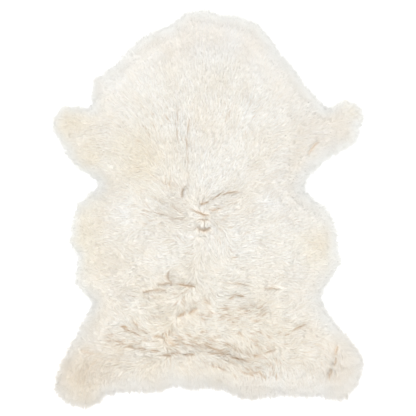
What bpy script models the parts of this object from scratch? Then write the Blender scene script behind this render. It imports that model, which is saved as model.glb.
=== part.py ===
"""A sheepskin rug: one tanned pelt with its wool on, lying flat with the wool up.

Metres, +Z up. +Y runs from the tail to the neck and +X is to the right of someone who looks down
on the wool with the neck at the top. The origin is the middle of the rug's box, on the floor.

The pelt is one solid. Underneath, its skin is a flat plateau that stands proud of the wool around
it. On top, the wool is a lumpy slab with soft partings, which rounds down to the floor and ends in
tapered locks all round. The locks rest level on the floor and are fused to the slab at their roots.
"""
import math
import random

import bmesh
import bpy
import numpy as np
from mathutils import Vector, geometry, noise

NAME = "sheepskin"

# Driving sizes
SKIN = 0.002            # thickness of the tanned skin
OVERHANG = 0.044        # how far the wool reaches past the edge of the skin
PILE = 0.047            # height of the wool on the back, above the floor
EDGE = 0.013            # height of the slab where the rim locks leave it
SHOULDER = 0.072        # width of the band in which the wool rounds down to its edge
LOCK = 0.025            # how far the rim locks stand out of the slab
LOCK_COUNT = 284        # rim locks, all the way round
LOCK_GAP = 0.0045       # least distance between the middles of two locks
TUFT = (0.046, 0.034)   # spacing of the tufts across and along the pelt
TUFT_DEPTH = 0.0085     # how deep the hollows between tufts are
SWELL = 0.0035          # slow rise and fall of the whole wool
SWELL_SPAN = 0.13
GRAIN = 0.0142          # distance between the points of the top surface
SEED = 3

# The edge of the wool, clockwise from the crest of the neck
EDGE_OF_WOOL = {
    "neck": ((-0.018, 0.451), (0.100, 0.428), (0.132, 0.398), (0.243, 0.255), (0.268, 0.236)),
    "right fore leg": ((0.325, 0.254), (0.356, 0.211), (0.330, 0.144), (0.254, 0.098)),
    "right flank": ((0.223, 0.039), (0.282, -0.006), (0.295, -0.082), (0.305, -0.123),
                    (0.273, -0.166), (0.262, -0.198)),
    "right hind leg": ((0.274, -0.234), (0.350, -0.325), (0.355, -0.363), (0.331, -0.412),
                       (0.309, -0.438), (0.248, -0.425), (0.222, -0.433)),
    "tail": ((0.196, -0.422), (0.094, -0.429), (0.053, -0.422), (0.019, -0.408), (-0.048, -0.408),
             (-0.078, -0.399), (-0.100, -0.414), (-0.138, -0.417), (-0.213, -0.417)),
    "left hind leg": ((-0.250, -0.446), (-0.312, -0.444), (-0.348, -0.380), (-0.271, -0.232)),
    "left flank": ((-0.272, -0.202), (-0.304, -0.168), (-0.295, -0.115), (-0.314, -0.085),
                   (-0.312, -0.046), (-0.290, 0.020), (-0.249, 0.057)),
    "left fore leg": ((-0.304, 0.096), (-0.327, 0.141), (-0.355, 0.180), (-0.332, 0.238),
                      (-0.288, 0.234), (-0.265, 0.244)),
    "left shoulder": ((-0.263, 0.267), (-0.267, 0.293), (-0.239, 0.305), (-0.205, 0.330),
                      (-0.161, 0.380), (-0.119, 0.405), (-0.085, 0.417), (-0.050, 0.446)),
}

# Where the wool parts: each parting is a bent trough between two ends
#    place               start             bend              end               width   depth
PARTINGS = (
    ("whorl right", (-0.013, 0.010), (0.016, 0.021), (0.074, 0.042), 0.010, 0.020),
    ("whorl left", (-0.135, 0.021), (-0.094, 0.015), (-0.058, 0.010), 0.009, 0.012),
    ("whorl lower left", (-0.117, 0.008), (-0.081, -0.006), (-0.027, -0.033), 0.010, 0.014),
    ("whorl lower", (-0.027, -0.042), (-0.009, -0.048), (0.011, -0.028), 0.009, 0.014),
    ("whorl upper", (-0.058, 0.021), (-0.056, 0.035), (-0.052, 0.048), 0.009, 0.012),
    ("spine left", (-0.072, 0.228), (-0.070, 0.183), (-0.063, 0.134), 0.010, 0.010),
    ("spine right", (-0.043, 0.201), (-0.047, 0.150), (-0.040, 0.098), 0.010, 0.012),
    ("right shoulder", (0.187, 0.210), (0.191, 0.224), (0.193, 0.244), 0.009, 0.008),
    ("right fore leg", (0.247, 0.152), (0.234, 0.141), (0.225, 0.120), 0.011, 0.012),
    ("left armpit", (-0.243, 0.073), (-0.236, 0.064), (-0.225, 0.057), 0.010, 0.010),
    ("loin hook", (-0.085, -0.134), (-0.085, -0.150), (-0.079, -0.161), 0.009, 0.012),
    ("loin", (-0.108, -0.172), (-0.067, -0.165), (-0.020, -0.168), 0.010, 0.018),
    ("loin left", (-0.189, -0.190), (-0.162, -0.183), (-0.126, -0.188), 0.010, 0.015),
    ("rump left", (-0.130, -0.231), (-0.108, -0.231), (-0.067, -0.217), 0.010, 0.014),
    ("rump right", (0.032, -0.201), (0.058, -0.195), (0.081, -0.188), 0.010, 0.016),
    ("rump far right", (0.085, -0.210), (0.106, -0.224), (0.130, -0.213), 0.010, 0.014),
    ("thigh left", (-0.216, -0.267), (-0.184, -0.269), (-0.146, -0.285), 0.010, 0.016),
    ("tail left", (-0.166, -0.314), (-0.097, -0.321), (-0.018, -0.305), 0.011, 0.019),
    ("tail right", (-0.025, -0.298), (0.032, -0.316), (0.121, -0.348), 0.012, 0.022),
    ("thigh right", (0.187, -0.269), (0.205, -0.260), (0.225, -0.253), 0.010, 0.010),
    ("right hind leg", (0.283, -0.296), (0.279, -0.339), (0.272, -0.379), 0.011, 0.014),
    ("left hind leg", (-0.288, -0.314), (-0.272, -0.318), (-0.252, -0.314), 0.010, 0.012),
)

# How the rim locks narrow and sink: share of the reach, of the root's width and of its height
LOCK_TAPER = ((0.58, 0.86, 0.58), (1.00, 0.36, 0.17))


def clear_scene():
    for thing in list(bpy.data.objects):
        bpy.data.objects.remove(thing, do_unlink=True)


# ---------------------------------------------------------------- flat curves

def smooth_loop(points, steps=12):
    """A closed Catmull-Rom curve through the points."""
    before, here, after, later = (np.roll(points, shift, axis=0) for shift in (1, 0, -1, -2))
    runs = []
    for t in np.linspace(0.0, 1.0, steps, endpoint=False):
        runs.append(0.5 * (2 * here + (after - before) * t
                           + (2 * before - 5 * here + 4 * after - later) * t ** 2
                           + (3 * here - before - 3 * after + later) * t ** 3))
    return np.stack(runs, axis=1).reshape(-1, 2)


def spaced(loop, count, shifts=0.0):
    """The same closed loop with points at even distances, or shifted by a share of one."""
    closed = np.vstack([loop, loop[:1]])
    walked = np.concatenate([[0.0], np.cumsum(np.linalg.norm(np.diff(closed, axis=0), axis=1))])
    stops = (np.arange(count) + 0.5 + shifts) * walked[-1] / count
    return np.column_stack([np.interp(stops, walked, closed[:, axis]) for axis in (0, 1)])


def length_of(loop):
    return np.linalg.norm(np.roll(loop, -1, axis=0) - loop, axis=1).sum()


def outward(loop):
    """Unit normals that point out of a clockwise loop."""
    along = np.roll(loop, -1, axis=0) - np.roll(loop, 1, axis=0)
    along /= np.linalg.norm(along, axis=1, keepdims=True)
    return np.column_stack([-along[:, 1], along[:, 0]])


def softened(loop, rounds):
    for _ in range(rounds):
        loop = (np.roll(loop, 1, axis=0) + 2 * loop + np.roll(loop, -1, axis=0)) / 4
    return loop


def distance_to(points, loop):
    """How far each point is from a closed loop."""
    start = loop
    run = np.roll(loop, -1, axis=0) - loop
    nearest = np.full(len(points), np.inf)
    for origin, step in zip(start, run):
        share = np.clip((points - origin) @ step / (step @ step), 0.0, 1.0)
        gap = np.linalg.norm(points - origin - share[:, None] * step, axis=1)
        nearest = np.minimum(nearest, gap)
    return nearest


def inset(loop, distance, spacing):
    """The loop moved inwards, without the stretches that would cross in narrow corners."""
    moved = loop - outward(loop) * distance
    kept = moved[distance_to(moved, loop) > distance * 0.985]
    count = round(length_of(kept) / spacing)
    return spaced(softened(spaced(kept, count * 2), 2), count)


def inside(points, loop):
    """Which points lie inside a closed loop."""
    x, y = points[:, 0:1], points[:, 1:2]
    x0, y0 = loop[:, 0], loop[:, 1]
    x1, y1 = np.roll(x0, -1), np.roll(y0, -1)
    crosses = (y0 > y) != (y1 > y)
    rise = np.where(y1 == y0, 1.0, y1 - y0)
    left_of = x < (x1 - x0) * (y - y0) / rise + x0
    return (crosses & left_of).sum(axis=1) % 2 == 1


def reach_to(origin, heading, loop):
    """Distance from a point to the loop along a heading."""
    run = np.roll(loop, -1, axis=0) - loop
    gap = loop - origin
    cross = heading[0] * run[:, 1] - heading[1] * run[:, 0]
    cross = np.where(np.abs(cross) < 1e-12, 1e-12, cross)
    far = (gap[:, 0] * run[:, 1] - gap[:, 1] * run[:, 0]) / cross
    share = (gap[:, 0] * heading[1] - gap[:, 1] * heading[0]) / cross
    hits = far[(share >= 0.0) & (share <= 1.0) & (far > 0.0)]
    return hits.min() if len(hits) else LOCK


# ---------------------------------------------------------------- heights of the wool

def parting_line(start, bend, end, steps):
    t = np.linspace(0.0, 1.0, steps)[:, None]
    start, bend, end = (np.array(point) for point in (start, bend, end))
    middle = 2 * bend - (start + end) / 2
    return (1 - t) ** 2 * start + 2 * t * (1 - t) * middle + t ** 2 * end


def parting_depth(points):
    """How deep the partings cut at each point: full in their middle, fading at their ends."""
    total = np.zeros(len(points))
    for _, start, bend, end, width, depth in PARTINGS:
        line = parting_line(start, bend, end, 13)
        fade = np.sin(np.linspace(0.12, 0.88, 13) * math.pi) ** 0.6
        gaps = np.linalg.norm(points[:, None] - line[None], axis=2)
        trough = fade * np.exp(-(gaps / width) ** 2)
        total = np.maximum(total, depth * trough.max(axis=1))
    return total


def tuft_hollow(x, y):
    """0 on top of a tuft, 1 in the hollow between two of them."""
    place = Vector((x / TUFT[0], y / TUFT[1], 0.0))
    place += 0.35 * noise.noise_vector(place * 0.8)
    nearest, second = noise.voronoi(place)[0][:2]
    rise = min((second - nearest) / 0.42, 1.0)
    return (1.0 - rise) ** 2


def coarseness(y):
    """The neck is smooth, and the tufts get deeper towards the tail."""
    return 0.35 + 0.75 * min(max((0.36 - y) / 0.50, 0.0), 1.0)


def wool_heights(points, rim):
    """Height of the wool's top above the floor at each point of the pelt."""
    depth_in = np.clip(distance_to(points, rim) / SHOULDER, 0.0, 1.0)
    shoulder = np.sin(depth_in * math.pi / 2) ** 0.8
    parted = parting_depth(points)
    heights = []
    for (x, y), rise, parting in zip(points, shoulder, parted):
        swell = SWELL * noise.noise(Vector((x, y, 0.0)) / SWELL_SPAN)
        lumps = TUFT_DEPTH * coarseness(y) * tuft_hollow(x, y)
        heights.append(EDGE + rise * (PILE - EDGE + 2 * swell - lumps - parting)
                       - (1.0 - rise) * 0.35 * lumps)
    return heights


# ---------------------------------------------------------------- the slab

def top_points(rim, draw):
    """Points for the top: a ring inside the rim, the partings, and uneven points between."""
    ring = inset(rim, GRAIN * 0.8, GRAIN * 0.95)
    lines = [parting_line(start, bend, end, 2 + round(math.dist(start, end) / 0.011))
             for _, start, bend, end, _, _ in PARTINGS]
    fixed = np.vstack([ring] + lines)
    columns = np.arange(rim[:, 0].min(), rim[:, 0].max(), GRAIN)
    rows = np.arange(rim[:, 1].min(), rim[:, 1].max(), GRAIN * math.sqrt(3) / 2)
    loose = np.array([(x + GRAIN * (0.5 * (row % 2) + draw.uniform(-0.24, 0.24)),
                       y + GRAIN * draw.uniform(-0.24, 0.24))
                      for row, y in enumerate(rows) for x in columns])
    loose = loose[inside(loose, ring)]
    loose = loose[distance_to(loose, ring) > GRAIN * 0.55]
    clear = np.linalg.norm(loose[:, None] - fixed[None], axis=2).min(axis=1) > GRAIN * 0.6
    return np.vstack([fixed, loose[clear]])


def triangles(loops, points):
    """Triangles that fill the first loop, with the other loops' edges and the points in them."""
    corners = [Vector(point) for loop in loops for point in loop]
    faces = []
    for loop in loops:
        first = sum(len(face) for face in faces)
        faces.append(list(range(first, first + len(loop))))
    corners += [Vector(point) for point in points]
    _, _, cells, sources, _, _ = geometry.delaunay_2d_cdt(corners, [], faces, 1, 1e-6)
    return [tuple(sources[place][0] for place in cell) for cell in cells]


def add_top(mesh, rim, draw):
    """The wool's uneven top. Gives the row of vertices above the rim."""
    points = top_points(rim, draw)
    flat = np.vstack([rim, points])
    heights = wool_heights(flat, rim)
    corners = [mesh.verts.new((x, y, z)) for (x, y), z in zip(flat, heights)]
    for a, b, c in triangles([rim], points):
        mesh.faces.new((corners[a], corners[b], corners[c]))
    return corners[:len(rim)]


def add_underside(mesh, rim, skin_edge):
    """Wool that meets the floor at the rim, and the skin's flat plateau within it."""
    flat = np.vstack([rim, skin_edge])
    heights = [0.0] * len(rim) + [SKIN] * len(skin_edge)
    corners = [mesh.verts.new((x, y, z)) for (x, y), z in zip(flat, heights)]
    cells = np.array(triangles([rim, skin_edge], []))
    faces = [mesh.faces.new([corners[place] for place in cell[::-1]]) for cell in cells]
    under_skin = inside(flat[cells].mean(axis=1), skin_edge)
    skin = [face for face, within in zip(faces, under_skin) if within]
    plateau = bmesh.ops.extrude_face_region(mesh, geom=skin)["geom"]
    bmesh.ops.delete(mesh, geom=skin, context="FACES")
    for corner in [part for part in plateau if isinstance(part, bmesh.types.BMVert)]:
        corner.co.z = 0.0
    bmesh.ops.dissolve_faces(
        mesh, faces=[part for part in plateau if isinstance(part, bmesh.types.BMFace)])
    return corners[:len(rim)]


def add_rim(mesh, top, bottom, number):
    """The slab's side: one four-sided, numbered face for the root of each lock."""
    roots = []
    for i in range(len(top)):
        after = (i + 1) % len(top)
        root = mesh.faces.new((bottom[i], top[i], top[after], bottom[after]))
        root[number] = i
        roots.append(root)
    return roots


# ---------------------------------------------------------------- the rim locks

def lock_paths(roots, headings, reach, curl):
    """The middle line of every lock: its root, then one point for each row of the taper."""
    across = np.column_stack([-headings[:, 1], headings[:, 0]])
    return [roots] + [roots + headings * (reach * share)[:, None]
                      + across * (curl * reach * (1.0 - share))[:, None]
                      for share, _, _ in LOCK_TAPER]


def crowded(paths, along):
    """Locks that come too close to the next one, or cross it."""
    tight = np.zeros(len(along), bool)
    for centres in paths[1:]:
        ahead = np.roll(centres, -1, axis=0) - centres
        tight |= (ahead * along).sum(axis=1) < LOCK_GAP
    return tight | np.roll(tight, 1)


def lock_centres(rim, edge_of_wool, draw):
    """Where the locks run: outwards with some sway, as far as the wool's edge, and not crossing."""
    roots = (rim + np.roll(rim, -1, axis=0)) / 2
    normals = softened(outward(roots), 3)
    angles = np.arctan2(normals[:, 1], normals[:, 0])
    for i in range(len(roots)):
        sway = 0.16 * math.sin(i * 0.9) + 0.12 * math.sin(i * 0.37 + 1.0)
        angles[i] += sway + draw.uniform(-0.10, 0.10)
    headings = np.column_stack([np.cos(angles), np.sin(angles)])
    reach = np.array([min(reach_to(root, heading, edge_of_wool), 1.7 * LOCK)
                      for root, heading in zip(roots, headings)])
    reach *= [draw.uniform(0.80, 1.05) for _ in reach]
    curl = np.array([draw.uniform(-0.16, 0.16) for _ in reach])
    along = np.column_stack([normals[:, 1], -normals[:, 0]])
    for _ in range(14):
        tight = crowded(lock_paths(roots, headings, reach, curl), along)
        reach[tight] *= 0.94
        curl[tight] *= 0.8
    return lock_paths(roots, headings, reach, curl)


def neighbour_gap(centres):
    ahead = np.linalg.norm(np.roll(centres, -1, axis=0) - centres, axis=1)
    return np.minimum(ahead, np.roll(ahead, 1))


def grow_locks(mesh, roots, number, rim, edge_of_wool, draw):
    """Draw each root face out into a tapered lock, level on the floor and clear of the next."""
    centres = lock_centres(rim, edge_of_wool, draw)
    root_widths = np.linalg.norm(np.roll(rim, -1, axis=0) - rim, axis=1)
    faces = roots
    for row, (_, width, height) in enumerate(LOCK_TAPER, start=1):
        faces = bmesh.ops.extrude_discrete_faces(mesh, faces=faces)["faces"]
        gaps = neighbour_gap(centres[row])
        ways = centres[row] - centres[row - 1]
        for face in faces:
            i = face[number]
            across = np.array((-ways[i][1], ways[i][0])) / np.linalg.norm(ways[i])
            half = min(width * root_widths[i], 0.80 * gaps[i]) / 2
            shape_end(face, centres[row][i], across * half, EDGE * height)


def shape_end(face, centre, half_width, height):
    """Set a lock's end face: corners run bottom, top, next top, next bottom."""
    left, right = centre + half_width, centre - half_width
    places = ((left, 0.0), (left, height), (right, height), (right, 0.0))
    for corner, ((x, y), z) in zip(face.verts, places):
        corner.co = (x, y, z)


# ---------------------------------------------------------------- the whole rug

def wool_material():
    material = bpy.data.materials.new("wool")
    material.use_nodes = True
    shader = material.node_tree.nodes["Principled BSDF"]
    shader.inputs["Base Color"].default_value = (0.86, 0.82, 0.74, 1.0)
    shader.inputs["Roughness"].default_value = 0.95
    shader.inputs["Metallic"].default_value = 0.0
    return material


def centre(mesh):
    """Put the middle of the rug's box over the origin."""
    places = np.array([corner.co[:2] for corner in mesh.verts])
    x, y = (places.min(axis=0) + places.max(axis=0)) / 2
    bmesh.ops.translate(mesh, verts=mesh.verts, vec=(-x, -y, 0.0))


def build_sheepskin(collection):
    draw = random.Random(SEED)
    edge_of_wool = smooth_loop(np.array([point for row in EDGE_OF_WOOL.values() for point in row]))
    uneven = np.array([draw.uniform(-0.22, 0.22) for _ in range(LOCK_COUNT)])
    rim = spaced(inset(edge_of_wool, LOCK, 0.008), LOCK_COUNT, uneven)
    skin_edge = inset(edge_of_wool, OVERHANG, 0.022)
    mesh = bmesh.new()
    number = mesh.faces.layers.int.new("lock")
    top = add_top(mesh, rim, draw)
    bottom = add_underside(mesh, rim, skin_edge)
    roots = add_rim(mesh, top, bottom, number)
    grow_locks(mesh, roots, number, rim, edge_of_wool, draw)
    centre(mesh)
    bmesh.ops.recalc_face_normals(mesh, faces=mesh.faces)
    data = bpy.data.meshes.new(NAME)
    mesh.to_mesh(data)
    mesh.free()
    data.shade_smooth()
    data.set_sharp_from_angle(angle=math.radians(50))
    data.materials.append(wool_material())
    rug = bpy.data.objects.new(NAME, data)
    collection.objects.link(rug)
    return rug


def main():
    clear_scene()
    collection = bpy.data.collections.new("sheepskin_rug")
    bpy.context.scene.collection.children.link(collection)
    build_sheepskin(collection)


main()
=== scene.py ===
"""The looks of a sheepskin rug: its wool, its tanned skin, a pale floor, soft light and a camera.

Metres, +Z up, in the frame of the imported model. The neck points to +Y. The wool is made of staples,
small bunches of tapered, wavy strands that are combed outwards from a whorl on the back. They take
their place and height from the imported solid, on a map of it that is drawn up first. The tables of
places on the pelt are in millimetres.
"""
import math

import bmesh
import bpy
import numpy as np
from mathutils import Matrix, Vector
from mathutils.bvhtree import BVHTree
from mathutils.kdtree import KDTree


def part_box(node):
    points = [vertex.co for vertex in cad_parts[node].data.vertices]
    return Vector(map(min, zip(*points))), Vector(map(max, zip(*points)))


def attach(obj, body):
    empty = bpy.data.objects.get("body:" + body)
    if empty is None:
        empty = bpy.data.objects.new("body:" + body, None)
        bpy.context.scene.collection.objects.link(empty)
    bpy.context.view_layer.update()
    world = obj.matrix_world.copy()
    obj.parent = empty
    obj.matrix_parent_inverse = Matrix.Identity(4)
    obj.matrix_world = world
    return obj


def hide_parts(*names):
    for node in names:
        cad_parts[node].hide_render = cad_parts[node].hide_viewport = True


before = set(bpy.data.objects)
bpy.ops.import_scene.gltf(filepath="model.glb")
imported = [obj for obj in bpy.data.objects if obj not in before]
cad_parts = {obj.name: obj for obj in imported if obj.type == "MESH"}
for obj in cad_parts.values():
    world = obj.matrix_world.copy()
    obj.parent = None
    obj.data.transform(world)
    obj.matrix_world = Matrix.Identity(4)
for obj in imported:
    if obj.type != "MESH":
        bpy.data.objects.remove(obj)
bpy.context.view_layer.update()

NODE = "sheepskin"
BODY = "root"
BANDS = ("wool_neck", "wool_back", "wool_loin", "wool_rump")
MM = 1000.0  # millimetres in a metre, for the tables of places
SEED = 11

# The map of the pelt
CELL = 0.002  # size of the map's cells
MARGIN = 0.045  # how far the map reaches past the pelt
EDGE_BLUR = 0.005  # how far round a cell its share of pelt is taken, to find the edge
EDGE_SHARE = 0.14  # that share at the edge of the wool
OUTWARD_BLUR = 0.016  # how far round it is taken to find the way outwards
HEIGHT_BLURS = {"top": 0.0035, "bulk": 0.008, "soft": 0.010, "level": 0.024}

# The skin and the undercoat
SKIN = 0.002  # thickness of the tanned skin
GAP = 0.0003  # air between the skin and the wool above it
FACING_DOWN = -0.99  # the z of a flat underside's normals, at most
FLAT = 1e-5  # how near the floor its faces are
UNDERCOAT_CELL = 0.0045
UNDERCOAT_BLUR = 0.003
UNDERCOAT_EDGE = 0.012  # how far the undercoat stays inside the edge of the wool
UNDERCOAT_DEPTH = 0.0036  # how far it stays below the top of the lively wool
UNDERCOAT_LEAST = 0.002  # its least thickness

# The lie and the relief of the wool
COMB_SOFTNESS = 0.0004  # how gently the comb's places take over from one another
COMB_BLUR = 0.006
EDGE_REACH = 0.050  # how far inside the edge the wool starts to turn outwards and down
CALM_START = 0.006  # how far inside the edge the calm wool starts to grow lively
SWIRL_SPAN = 0.012  # how wide the wool's uneven turns are
LUMP_SPAN = 0.010  # how wide its small lumps are
VALLEY_FILL = 0.85  # how far the wool fills the solid's valleys
FILL_BAND = (0.030, 0.030)  # where that starts inside the edge, and how far it takes to grow
DULL_BAND = (0.014, 0.100)  # where a duller band starts inside the edge, and its width
DULLNESS = 0.6  # how much of the strands' tone is lost in its middle
PALE_BAND = (0.0033, 0.022)  # where the edge's paleness starts to fade, and how far it takes; the paleness is painted light against the shade at the edge

# The strands
STOPS = np.array([0.0, 0.36, 0.74, 1.0])  # three rings along a strand, and its tip
CORNERS = [3, 3, 3, 1]  # corners at each of them
GIRTH = np.array([0.75, 1.00, 0.66])  # width at each ring
SITE = STOPS[1]  # where on a strand its own place is
FLATTEN = 0.50  # a strand's height over its width
WAVES = 7.5  # how far its wave turns from root to tip, in radians
ROOT_DEPTH = 0.0045  # how far below the wool's top it starts
LIP = 0.0025  # how far its tip stands up where a cleft cuts it
BAND_TRIANGLES = 188000  # most triangles in one piece of wool
BAND_BLEND = 0.006  # how far neighbouring pieces of wool mingle
FLOOR_CLEARANCE = 0.0005
STAPLE_JITTER = 0.45  # how far a staple strays from an even grid, in its cells
STAPLE_SPREAD = 0.72  # how far a staple's roots spread, in its spacing
LOOSE_SHARE = 0.55  # share of the strands that stand on their own
LOOSE_ROUNDS = 8  # rounds in which those fill the thin places
LOOSE_EDGE = 0.012  # how far inside the edge they stay
LOOSE_PARTED = 0.0045  # the deepest part of a cleft that they stand in
CALM_SHARE = 0.15  # how much of its lift, wave, clump and swirl the calm wool keeps
CALM_WIDTH = 0.88  # how much of their width its strands keep
CALM_LENGTH = 0.82
LIVELY_LENGTH = 0.18  # what the lively wool has besides
CALM_TONE = 0.35

# The fringe of finer strands round the edge
RIM_SPAN = (0.007, 0.030)  # its places' distance inside the edge
RIM_SHORT = 0.006  # how far its shortest tips stop inside the edge
RIM_LONG = 0.009  # how far its longest tips pass the edge
RIM_LIFT = 0.0015  # how high its highest tips are over the edge
RIM_WIDTH = 0.00045
RAGGED = 0.20  # how uneven its tufts make the edge
RAGGED_SPAN = 0.005  # how wide the tufts are

# How the wool lies, in rows from the neck to the tail: which way its tips point at each place, in
# degrees from the right, anticlockwise
#    y    (x, heading) of each place
COMB = (
    # the neck and the nape
    (430, (0, 92)),
    (380, (-100, 118), (100, 66)),
    (300, (-120, 112), (-20, 93), (100, 72), (-200, 138)),
    # the right shoulder and the withers
    (290, (190, 40)),
    (200, (-110, 110), (-50, 92), (30, 76), (-190, 146), (130, 42)),
    # the fore legs
    (170, (-270, 178)),
    (190, (-330, 180)),
    (180, (250, 14)),
    (200, (330, 12)),
    # the spine and the ribs
    (100, (-50, 93)),
    (80, (-110, 130), (30, 64), (-190, 160), (160, 24)),
    # round the whorl
    (5, (-80, 155)),
    (0, (-180, 162)),
    (20, (40, 24)),
    (0, (160, 18)),
    (-45, (-60, 168)),
    (-65, (10, 275)),
    (-40, (70, 8)),
    # the flanks, the belly and the loin
    (-60, (-260, 176), (260, 6)),
    (-100, (-140, 171), (120, 10)),
    (-170, (-100, 174), (60, 4)),
    (-180, (-200, 168), (200, 16)),
    # the rump and the thighs
    (-250, (-120, 166)),
    (-240, (-20, -28), (100, 12)),
    (-280, (-220, 163)),
    (-270, (220, 24)),
    # above the tail
    (-310, (-120, 172)),
    (-300, (-70, 318)),
    (-310, (-10, -14)),
    (-320, (110, -24)),
    # the hind legs and the tail
    (-370, (-280, 250)),
    (-360, (300, -62)),
    (-385, (-120, 266), (0, 270)),
    (-390, (130, -84)),
)

# What the wool is like at places along the pelt, in metres. Calm is the width of the calm wool inside
# the edge, swirl the spread of uneven turns in degrees, pale how far the edge is paled as painted light,
# and shade how far the lowest strands are painted warmer and darker, partly as painted shade.
COAT_COLUMNS = ("y", "spacing", "length", "lift", "wave", "swirl", "lump", "clump", "width", "calm",
                "pale", "shade")
COAT = (
    (0.45, 0.0080, 0.036, 0.0003, 0.0003, 4, 0.0001, 0.10, 0.00055, 0.11, 1.0, 0.04),
    (0.33, 0.0080, 0.035, 0.0004, 0.0004, 7, 0.0001, 0.16, 0.00056, 0.09, 0.9, 0.10),
    (0.24, 0.0080, 0.033, 0.0005, 0.0006, 11, 0.0002, 0.20, 0.00058, 0.06, 1.0, 0.22),
    (0.08, 0.0084, 0.031, 0.0006, 0.0008, 14, 0.0003, 0.28, 0.00058, 0.05, 1.0, 0.26),
    (-0.12, 0.0088, 0.029, 0.0007, 0.0009, 17, 0.0004, 0.30, 0.00058, 0.05, 1.0, 0.22),
    (-0.29, 0.0092, 0.027, 0.0015, 0.0014, 28, 0.0013, 0.50, 0.00060, 0.06, 0.5, 0.40),
    (-0.37, 0.0088, 0.030, 0.0009, 0.0007, 16, 0.0007, 0.28, 0.00058, 0.05, 0.4, 0.32),
    (-0.45, 0.0084, 0.033, 0.0006, 0.0004, 10, 0.0004, 0.20, 0.00056, 0.05, 0.3, 0.25),
)

# Where the wool lies in longer, clearer wisps, and how strongly, in percent
#    place       x   y  width height strength
WISPS = (
    ("whorl", -20, 20, 110, 45, 50),
    ("above tail", 0, -315, 160, 30, 80),
    ("withers", -60, 180, 60, 60, 50),
)
STRENGTH = 5  # that column
WISP_CLUMP = 0.25  # what a full wisp adds to the clump
WISP_LIFT = 0.2
WISP_SHADE = 0.15
WISP_STEADY = 0.45  # how much of the swirl it takes away

# Where the wool parts and its warmer roots and painted shade show: clefts along a bent line between two
# ends
#    start     bend      end    depth clefts
PARTINGS = (
    # the whorl, from its notch outwards
    ((-17, 12), (-7, 13), (4, 18), 10, 1),
    ((4, 18), (33, 37), (70, 42), 5, 2),
    ((-120, 24), (-85, 10), (-52, -12), 3, 2),
    ((-43, 3), (-19, -8), (4, -12), 6, 1),
    ((4, -2), (13, -1), (22, 1), 6, 1),
    ((-150, 0), (-98, -14), (-42, -24), 3, 3),
    ((22, 1), (42, 11), (68, 18), 2, 2),
    ((-20, -21), (-8, -23), (5, -23), 4, 1),
    ((-25, -38), (-8, -46), (4, -38), 6, 1),
    ((-56, 23), (-57, 36), (-50, 51), 4, 1),
    ((-84, 44), (-83, 50), (-80, 57), 2, 1),
    ((-127, 78), (-110, 66), (-95, 51), 2, 1),
    # the spine
    ((-72, 228), (-70, 183), (-63, 134), 3, 2),
    ((-43, 201), (-47, 150), (-40, 98), 4, 3),
    # the fore legs
    ((-243, 73), (-236, 64), (-225, 57), 3, 1),
    ((247, 152), (234, 141), (225, 120), 4, 1),
    # the loin
    ((-84, -136), (-89, -152), (-80, -163), 4, 1),
    ((-176, -192), (-166, -193), (-155, -196), 3, 1),
    ((-146, -186), (-122, -181), (-90, -180), 5, 2),
    ((-112, -169), (-92, -166), (-74, -165), 4, 1),
    ((-74, -165), (-50, -168), (-28, -171), 10, 1),
    ((40, -163), (63, -165), (88, -170), 4, 1),
    ((122, -177), (140, -176), (158, -178), 4, 1),
    # the rump
    ((45, -199), (62, -187), (81, -193), 7, 2),
    ((92, -214), (108, -217), (124, -207), 6, 2),
    ((-70, -243), (-48, -228), (-26, -215), 6, 2),
    ((-128, -236), (-118, -239), (-106, -237), 3, 1),
    # the left thigh
    ((-166, -248), (-162, -255), (-153, -259), 6, 1),
    ((-200, -263), (-178, -268), (-150, -283), 7, 2),
    ((-285, -314), (-272, -318), (-255, -322), 4, 1),
    ((-216, -292), (-198, -294), (-184, -302), 7, 1),
    # the row of curls above the tail
    ((-180, -305), (-155, -310), (-130, -314), 5, 2),
    ((-130, -314), (-80, -318), (-29, -316), 6, 4),
    ((-10, -299), (10, -309), (28, -316), 9, 1),
    ((35, -297), (45, -300), (54, -304), 8, 1),
    ((0, -326), (45, -329), (87, -342), 9, 2),
    ((68, -363), (92, -366), (116, -365), 4, 2),
    # the wisps over that row, and one cleft under it
    ((-126, -282), (-110, -282), (-98, -290), 5, 2),
    ((-80, -290), (-40, -300), (-20, -305), 5, 3),
    ((-3, -288), (7, -291), (16, -295), 6, 1),
    ((-38, -292), (-25, -300), (-12, -309), 5, 1),
    ((-50, -296), (-36, -304), (-24, -311), 4, 1),
    ((80, -318), (110, -322), (150, -310), 4, 3),
    ((6, -346), (14, -347), (40, -358), 5, 2),
    # the right thigh and hind leg
    ((187, -269), (202, -262), (216, -254), 6, 1),
    ((290, -306), (279, -340), (268, -382), 5, 3),
)
CLEFT_STEPS = 8  # points along each cleft of a parting
CLEFT_WANDER = 0.0022  # how far a cleft strays from its parting's line
CLEFT_WOBBLE = 0.0006  # how far each of its points strays
CLEFT_ROUND = 0.02  # how far round a cleft the map is changed
CLEFT_WIDTH = 0.0016  # how far a cleft reaches down the lie of the wool
CLEFT_BACK = 0.0012  # how far it reaches up the lie
CLEFT_SIDE = 0.0030
CLEFT_DROP = 0.12  # how much of its depth the wool's top follows
CLEFT_GAP = (0.0005, 0.11)  # half the gap between the strands on its sides: least, and per depth
CLEFT_REACH = 0.0040  # how far past its line a strand is drawn back to its own side
ACROSS = 0.42  # how steeply a strand crosses a cleft, as a sine, if it is cut there
CLEFT_TINT = 0.0015  # how far to its sides the wool shows its warmer roots and painted shade
CLEFT_ROOTS_AND_SHADE_DEPTH = 0.006  # the least depth that shows them fully

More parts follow.
